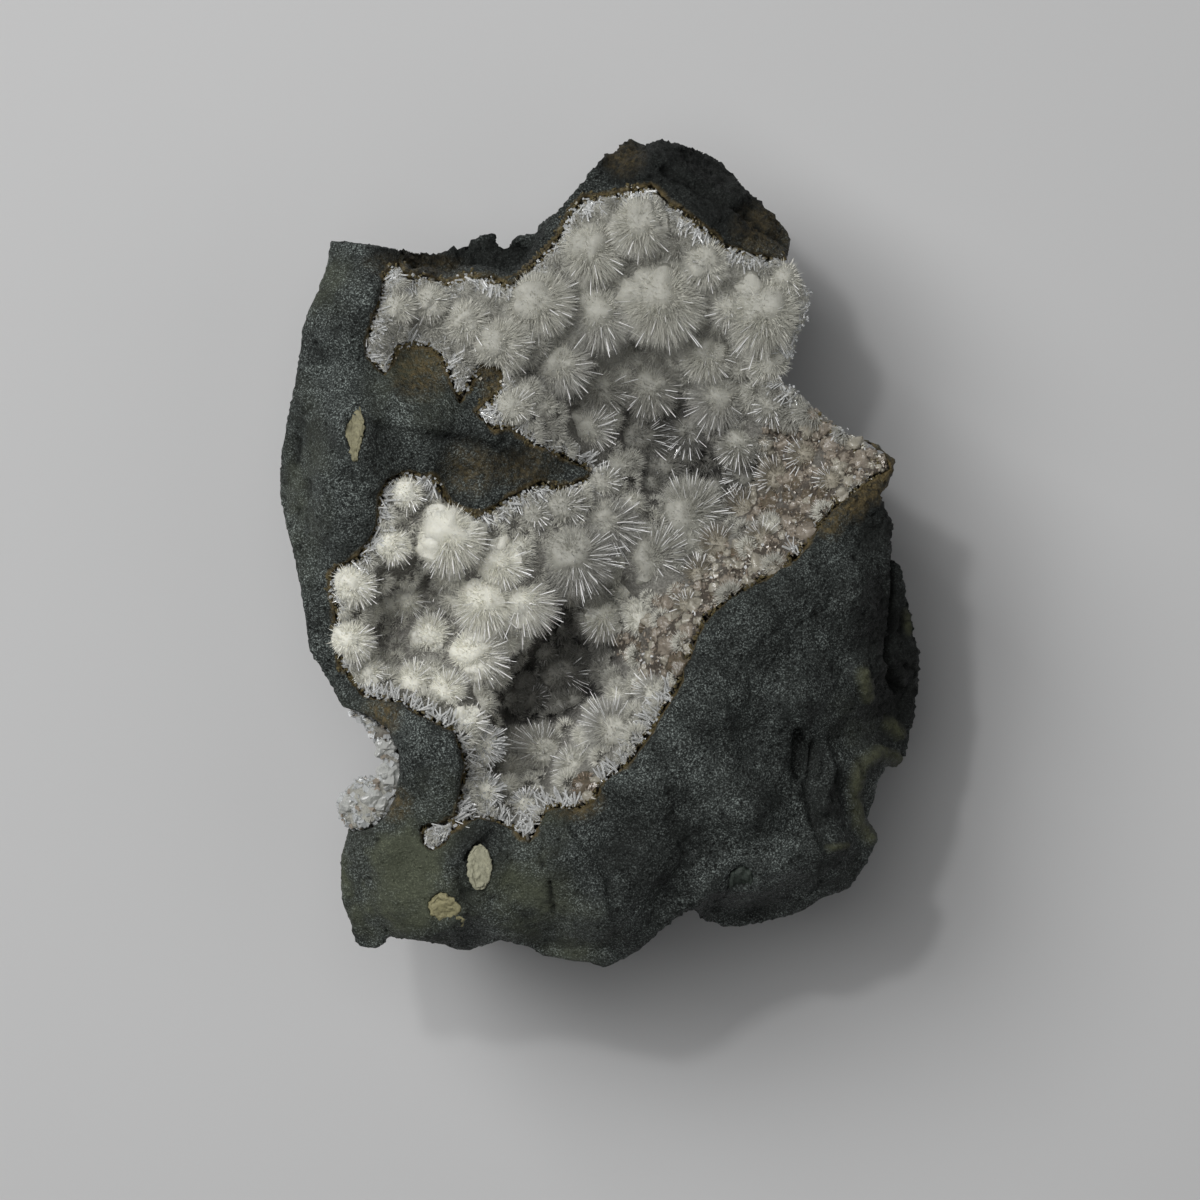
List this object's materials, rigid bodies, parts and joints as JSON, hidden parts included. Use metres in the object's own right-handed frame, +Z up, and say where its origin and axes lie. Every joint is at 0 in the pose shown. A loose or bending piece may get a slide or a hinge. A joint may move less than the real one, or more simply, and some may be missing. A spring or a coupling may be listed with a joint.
{
  "type": "thomsonite with natrolite specimen",
  "caption": "Broken block of dark basalt with an open hollow lined by sprays of fine white needle crystals and a pale pink granular band, lying on its sawn back.",
  "frame": {"origin": "middle of the sawn back, which lies on the surface", "axes": "+Z up out of the hollow, +Y along the length to the cap above the hollow, +X to the side with the sharp corner"},
  "size_m": [0.0778, 0.1006, 0.0464],
  "materials": {
    "basalt": "rough broken",
    "needle_crystals": "glassy to silky",
    "pocket_crystals": "glassy",
    "cream_filling": "dull",
    "green_filling": "waxy"
  },
  "bodies": {
    "root": {"basalt_matrix": "basalt", "vug_crust": "needle_crystals", "side_pocket_crust": "pocket_crystals", "cream_lath": "cream_filling", "oval_filling": "cream_filling", "star_filling": "cream_filling", "green_filling": "green_filling"}
  },
  "joints": []
}
